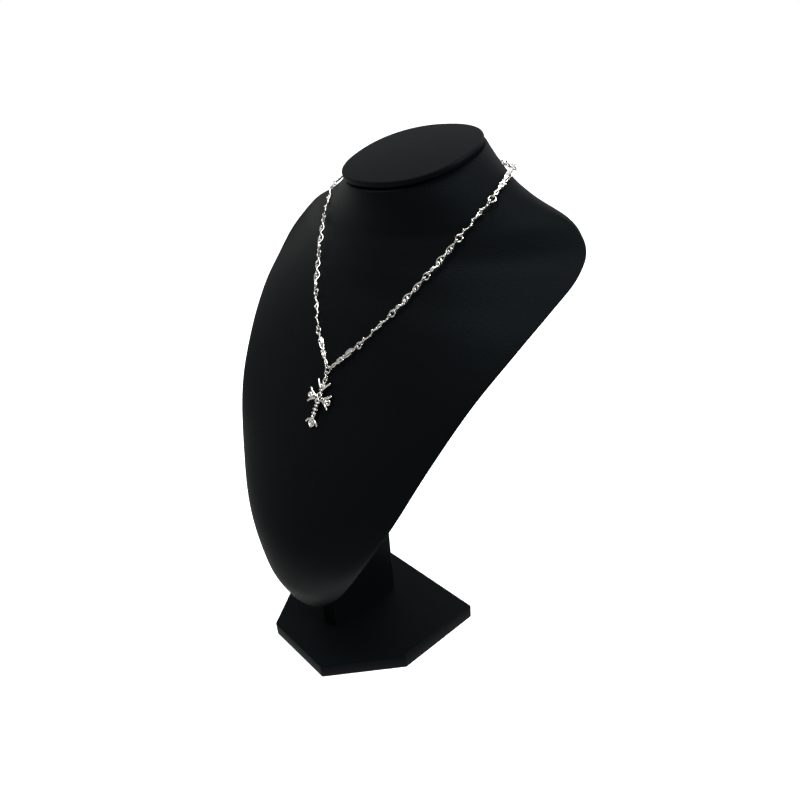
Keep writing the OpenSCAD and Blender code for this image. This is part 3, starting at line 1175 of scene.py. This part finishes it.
    def build(self) -> Iterable[tuple[Piece, str]]:
        """Builds the chain's pieces, each with the node that it stands for.

        Yields:
            Each piece and its node.
        """
        yield self.ring_piece("wound_centre_ring", centre_ring(self.gauge)), "centre_ring"
        for side in Side:
            rings = self.rings(side)
            for number, casting in enumerate(self.castings, 1):
                tail = f"{number}_{side.tag}"
                yield self.ring_piece(f"wound_ring_{tail}", rings[number]), f"ring_{tail}"
                name = f"cast_{casting.kind}_{tail}"
                yield self.link_piece(name, number, rings, side), f"{casting.kind}_link_{tail}"
        yield self.clasp(), "clasp"


# The pendant


@dataclass(frozen=True)
class CrossRod:
    """A rod of the cross, in millimetres in the cross's own plane: x right, y up and z out."""

    points: tuple[Place, ...]
    steps: int
    radius: float
    drop: float = 0.0
    sides: int = 10

    def add(self, bm: BMesh, flip: int = 1, up: int = 1, out: float = 0.0) -> Vector:
        """Adds the rod, mirrored where flip or up is -1 and moved out, and gives its end.

        Args:
            bm: The mesh that it joins.
            flip: 1, or -1 for its mirror image on the left.
            up: 1, or -1 for its mirror image below.
            out: How far it is moved outwards.

        Returns:
            The last point of its middle line.
        """
        drawn = [(flip * x, up * y, out + z) for x, y, z in self.points]
        line = [Vector(p) for p in smooth(drawn, self.steps)]
        rod(bm, line, [self.radius - self.drop * (i / self.steps) for i in range(self.steps + 1)], self.sides)
        return line[-1]


# Core of stem and arms.
CORE = (
    CrossRod(((0, 9.4, 0), (0, 0, 0), (0, -11.6, 0)), 20, 1.3, -0.15, sides=14),
    CrossRod(((-9.6, 0, 0), (0, 0, 0), (9.6, 0, 0)), 16, 1.2, sides=14),
)
# One of two strands that open and cross below the stem's bands.
STRAND = CrossRod(
    ((0.5, -10.6, 0.3), (1.35, -12.2, 0.1), (0.8, -13.6, 0.5), (-0.7, -14.8, 0.5), (-1.2, -16.0, 0.1)),
    24,
    0.68,
)
# The stem's bands: height, radius, wire and how far out.
STEM_BANDS = (
    (6.0, 1.4, 0.68, 0.15), (3.6, 1.35, 0.6, 0.2), (-3.2, 1.4, 0.6, 0.3),
    (-5.3, 1.5, 0.65, 0.3), (-7.9, 1.65, 0.78, 0.3), (-10.7, 1.7, 0.72, 0.35),
)
# An arm's bands: place along it, radius and wire.
ARM_BANDS = ((3.6, 1.2, 0.55), (5.8, 1.2, 0.6))
# Prongs of one side: above and below the arm's end, at the top and at the foot.
PRONGS = tuple(
    CrossRod(points, 14, 0.86, 0.14)
    for points in (
        ((4.6, 0.8, 0), (7.0, 2.1, 0.3), (9.2, 3.1, 0.3), (11.2, 4.5, 0)),
        ((4.6, -0.8, 0), (7.0, -2.1, 0.3), (9.1, -3.2, 0.3), (10.9, -4.6, 0)),
        ((0.2, 6.0, 0), (2.3, 7.9, 0.3), (4.3, 10.0, 0.3), (6.2, 12.0, 0)),
        ((1.2, -14.9, 0), (3.0, -15.6, 0.3), (4.7, -16.5, 0.3), (6.1, -17.9, 0)),
    )
)
# A compact curl in a corner of the crossing, with the cross bar that it springs from.
CURL = CrossRod(
    ((0.1, 0.1, 1.0), (1.3, 1.1, 1.1), (2.2, 2.1, 0.8), (1.9, 2.9, 0.6), (1.1, 2.6, 0.5)), 20, 0.66, 0.1
)
# One side of the kite-shaped foot's rim, and the tie from it to the foot's boss.
FOOT_RIM = CrossRod(((0.7, -15.2, 0.1), (2.9, -17.7, 0.1), (1.6, -19.4, 0.1), (0, -20.4, 0)), 18, 0.62, 0.04)
FOOT_TIE = CrossRod(((1.1, -17.6, 0), (1.8, -17.7, 0), (2.5, -17.7, 0)), 4, 0.34)
# The foot's neck and its tip.
FOOT_ENDS = (
    CrossRod(((0, -14.6, 0), (0, -15.5, 0), (0, -16.4, 0)), 6, 0.7),
    CrossRod(((0, -18.6, 0), (0, -19.7, 0), (0, -20.9, 0)), 8, 0.7, 0.45),
)


@dataclass
class Pendant(Silverwork):
    """The cross and the swayed bail that hangs it from the centre ring."""

    # The cross, from its middle: its arm buds, its hanging loop, and how far it hangs below the centre
    # ring and lies behind it.
    bud_x: float = 10.5
    cross_up: float = 12.6
    hang_r: float = 1.6
    cross_drop: float = 20.4
    sink: float = 0.2
    band_flat: float = 0.62
    # The two strands of the twist lie this far before and behind the middle.
    strand_out: float = 0.2
    bail_wire: float = 0.4
    bail_half_w: float = 1.2
    bail_play: float = 0.3
    bail_pinch: float = 0.22
    bail_sway: float = 0.85

    def stem(self, bm: BMesh) -> None:
        """Adds the core of stem and arms, the open twist below it and the stem's bands.

        Args:
            bm: The mesh that they join.
        """
        for part in CORE:
            part.add(bm)
        for flip in (-1, 1):
            STRAND.add(bm, flip, out=flip * self.strand_out)
        for y, r, wire, out in STEM_BANDS:
            loop(bm, (0, y, out), (0, 1, 0), r, wire, 24, self.band_flat)

    def side(self, bm: BMesh, flip: int) -> None:
        """Adds what stands on one side of the stem.

        Args:
            bm: The mesh that it joins.
            flip: 1 for the right side, or -1 for the left.
        """
        for x, r, wire in ARM_BANDS:
            loop(bm, (flip * x, 0, 0.15), (1, 0, 0), r, wire, 24, self.band_flat)
        # Pierced bud at the arm's end, with a small leaf over its foot and a lobe on each side.
        loop(bm, (flip * self.bud_x, -0.1, 0), (0, 0, 1), r=1.45, wire=0.75)
        leaf(bm, (flip * 6.2, 0, 0.4), (flip * 9.8, -0.1, 0.6), 0.9, half_thick=0.7, rise=0.4, vein=0.5)
        for up in (-1, 1):
            foot, tip = (flip * 5.6, up * 0.5, 0.3), (flip * 9.0, up * 2.3, 0.3)
            leaf(bm, foot, tip, 0.7, half_thick=0.6, rise=0.3, vein=0.4)
        for prong in PRONGS:
            stud(bm, prong.add(bm, flip), (0.78, 0.78, 0.72))
        for up in (-1, 1):
            CURL.add(bm, flip, up)
        FOOT_RIM.add(bm, flip)
        leaf(bm, (0, 7.4, 0.3), (flip * 2.1, 10.4, 0.2), 0.8, half_thick=0.6, rise=0.4, vein=0.5)

    def bosses(self, bm: BMesh) -> None:
        """Adds the studs, the foot's collar, ties and ends, and the hanging loop.

        Args:
            bm: The mesh that they join.
        """
        # Middle boss, top bud in two parts, and the foot's boss in its collar.
        stud(bm, (0, 0, 1.05), (0.9, 0.9, 0.8))
        stud(bm, (0, 8.6, 0.3), (1.2, 1.4, 1.1))
        stud(bm, (0, 10.4, 0.1), (0.95, 1.1, 0.85))
        loop(bm, (0, -17.6, 0.2), (0, 0, 1), r=1.05, wire=0.32)
        stud(bm, (0, -17.6, 0.2), (0.42, 0.42, 0.8))
        for flip in (-1, 1):
            FOOT_TIE.add(bm, flip)
        for part in FOOT_ENDS:
            part.add(bm)
        loop(bm, (0, self.cross_up, 0), (0, 0, 1), self.hang_r, self.gauge.eye_wire)

    def cross(self) -> Piece:
        """Casts the cross and hangs it below the centre ring.

        Returns:
            The piece.
        """
        bm = bmesh.new()
        self.stem(bm)
        for flip in (-1, 1):
            self.side(bm, flip)
        self.bosses(bm)
        centre = centre_ring(self.gauge)
        middle = centre.middle + self.cross_drop * MM * centre.down - self.sink * MM * centre.normal
        place = on_axes(middle, Vector((1, 0, 0)), centre.normal)
        return self.cast_piece("cast_cross", bm, place, voxel=0.1, passes=9, depth=0.06)

    def bail(self) -> Piece:
        """Builds the bail, a loop of wire on edge that is pinched in the middle and sways like an S.

        Returns:
            The piece.
        """
        g = self.gauge
        top = g.centre_r - g.ring_wire - self.bail_wire - self.bail_play
        bottom = self.cross_drop - self.cross_up - self.hang_r + g.eye_wire + self.bail_wire + self.bail_play
        middle, half = (top + bottom) / 2, (bottom - top) / 2
        straight = half - self.bail_half_w
        steps = 64
        path = []
        for i in range(steps):
            turn = 2 * math.pi * i / steps
            x = half * math.sin(turn)
            beyond = max(abs(x) - straight, 0) / self.bail_half_w
            pinch = 0.5 - 0.5 * math.cos(math.pi * min(abs(x) / straight, 1))
            wide = self.bail_half_w * math.sqrt(max(1 - beyond**2, 0))
            wide *= self.bail_pinch + (1 - self.bail_pinch) * pinch
            sway = self.bail_sway * math.sin(math.pi * x / half)
            path.append(Vector((middle + x, sway, math.copysign(wide, math.cos(turn)))))
        path.append(path[0])
        bm = bmesh.new()
        rod(bm, path, [self.bail_wire] * len(path), 12, Vector((0, 1, 0)))
        centre = centre_ring(g)
        return self.wire_piece("swayed_bail", bm, on_axes(centre.middle, centre.down, centre.normal))

    def build(self) -> Iterable[tuple[Piece, str]]:
        """Builds the pendant's pieces, each with the node that it stands for."""
        yield self.cross(), "cross_pendant"
        yield self.bail(), "bail"


# The studio


@dataclass(frozen=True)
class SoftLight:
    """A square soft light, in metres and watts."""

    name: str
    place: Place
    aim: Place
    size: float
    power: float

    def build(self) -> None:
        """Puts the light in the scene."""
        data = bpy.data.lights.new(self.name, "AREA")
        data.size = self.size
        data.energy = self.power
        lamp = bpy.data.objects.new(self.name, data)
        lamp.location = self.place
        lamp.rotation_euler = (Vector(self.aim) - Vector(self.place)).to_track_quat("-Z", "Y").to_euler()
        bpy.context.scene.collection.objects.link(lamp)


@dataclass(frozen=True)
class SkyGlow:
    """A broad soft patch of light that the sky throws from one side: white walls, a ceiling or the table."""

    towards: Place
    sharpness: float
    strength: float

    def level(self, tree: NodeTree, way: Socket, so_far: Socket | float) -> Socket:
        """Adds this glow's light in a direction to what the sky already gives there.

        Args:
            tree: The sky's node tree.
            way: The direction.
            so_far: What the sky gives so far.

        Returns:
            The light with this glow.
        """
        aim = Vector(self.towards).normalized()
        facing = add_node(tree, "VectorMath", {"operation": "DOT_PRODUCT"}, {0: way, 1: aim})
        ahead = add_node(tree, "Math", {"operation": "MAXIMUM"}, {0: facing.outputs["Value"], 1: 0.0})
        soft = add_node(tree, "Math", {"operation": "POWER"}, {0: ahead.outputs[0], 1: self.sharpness})
        inputs = {0: soft.outputs[0], 1: self.strength, 2: so_far}
        return add_node(tree, "Math", {"operation": "MULTIPLY_ADD"}, inputs).outputs[0]


@dataclass(frozen=True)
class Studio:
    """White floor and background, soft lights, and the camera of the photograph."""

    camera_mm: Place = (342.1, -227.4, 387.9)
    target_mm: Place = (0.0, 60.9, 172.8)
    roll_deg: float = -4.49
    lens_mm: float = 29.25
    board_grain_mm: float = 25.0
    lights: tuple[SoftLight, ...] = (
        SoftLight("overhead", (-0.3, -0.3, 1.5), (0, 0.05, 0.3), size=0.8, power=13.5),
        SoftLight("back_right", (1.1, 0.5, 0.9), (0, 0.05, 0.25), size=0.45, power=21.0),
    )
    # Ceiling, table, back wall, front and left: where each is, how sharp and how strong.
    glows: tuple[SkyGlow, ...] = (
        SkyGlow((0, 0, 1), 3, 0.72),
        SkyGlow((0, 0, -1), 2, 1.85),
        SkyGlow((0, 0.8, 0.6), 6, 1.9),
        SkyGlow((0, -1, 0), 6, 1.02),
        SkyGlow((-1, 0, 0), 6, 0.92),
    )

    def camera(self) -> None:
        """Makes the camera, turned about its own line of sight by the photograph's roll."""
        data = bpy.data.cameras.new("camera")
        data.lens = self.lens_mm
        data.sensor_width = 36.0
        data.clip_start = 0.01
        data.clip_end = 50.0
        eye = bpy.data.objects.new("camera", data)
        place, target = Vector(self.camera_mm) * MM, Vector(self.target_mm) * MM
        back = (place - target).normalized()
        right = Vector((0, 0, 1)).cross(back).normalized()
        level = Matrix((right, back.cross(right), back)).transposed()
        turn = level @ Matrix.Rotation(math.radians(self.roll_deg), 3, "Z")
        eye.matrix_world = Matrix.Translation(place) @ turn.to_4x4()
        bpy.context.scene.collection.objects.link(eye)
        bpy.context.scene.camera = eye

    def floor(self) -> None:
        """Lays the pale floor that the stand rests on."""
        bm = bmesh.new()
        bmesh.ops.create_grid(bm, x_segments=8, y_segments=8, size=20.0)
        # Matt white board: even, nearly pure white and without gloss.
        board, tree, place = new_material("pale_board")
        grain = add_node(tree, "TexNoise", inputs={"Vector": place, "Scale": 1 / (self.board_grain_mm * MM)})
        shade = add_node(
            tree,
            "Mix",
            {"data_type": "RGBA"},
            {"Factor": grain.outputs["Fac"], "A": linear("#F6F6F6"), "B": linear("#FAFAFA")},
        )
        feed(
            tree,
            tree.nodes["Principled BSDF"],
            {
                "Base Color": shade.outputs["Result"],
                "Roughness": 0.9,
                "Specular IOR Level": 0.0,
                "Emission Color": linear("#FFFFFF"),
                "Emission Strength": 0.85,
            },
        )
        floor = mesh_object("floor", mesh_from("floor", bm), board)
        # The sky gives the soft light from below, so the floor itself is seen but lights nothing.
        floor.visible_glossy = False
        floor.visible_diffuse = False

    def sky(self) -> None:
        """Lights the scene with broad glows from the ceiling, walls and table, and shows white behind it."""
        world = bpy.data.worlds.new("studio")
        bpy.context.scene.world = world
        world.use_nodes = True
        tree = world.node_tree
        tree.nodes.clear()
        way = add_node(tree, "TexCoord").outputs["Generated"]
        level = 0.0
        for glow in self.glows:
            level = glow.level(tree, way, level)
        soft = add_node(tree, "Background", None, {"Color": linear("#FFFFFF"), "Strength": level})
        plain = add_node(tree, "Background", None, {"Color": linear("#FFFFFF")})
        seen = add_node(tree, "LightPath").outputs["Is Camera Ray"]
        inputs = {0: seen, 1: soft.outputs["Background"], 2: plain.outputs["Background"]}
        both = add_node(tree, "MixShader", None, inputs)
        add_node(tree, "OutputWorld", None, {"Surface": both.outputs["Shader"]})

    def build(self) -> None:
        """Sets up floor, sky, lights and camera."""
        bpy.context.scene.view_settings.view_transform = "Standard"
        self.floor()
        self.sky()
        for light in self.lights:
            light.build()
        self.camera()


def main() -> None:
    """Builds the studio and every piece, and reports each piece."""
    logging.basicConfig(level=logging.INFO, format="%(name)s: %(message)s")
    Studio().build()
    leather = Leatherette("embossed_vinyl").material()
    cast_silver = AgedSilver("oxidised_cast_silver").material()
    drawn_silver = AgedSilver("drawn_silver_wire", polish=0.14, has_hollows=False).material()
    makers = (
        (Stand(leather), "leatherette"),
        (Chain(cast_silver, drawn_silver), "silver"),
        (Pendant(cast_silver, drawn_silver), "silver"),
    )
    for maker, slot in makers:
        for piece, node in maker.build():
            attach(piece, "root")
            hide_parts(node)
            log.info("%s stands for %s, %d faces", piece.name, node, len(piece.data.polygons))


if __name__ == "__main__":
    main()
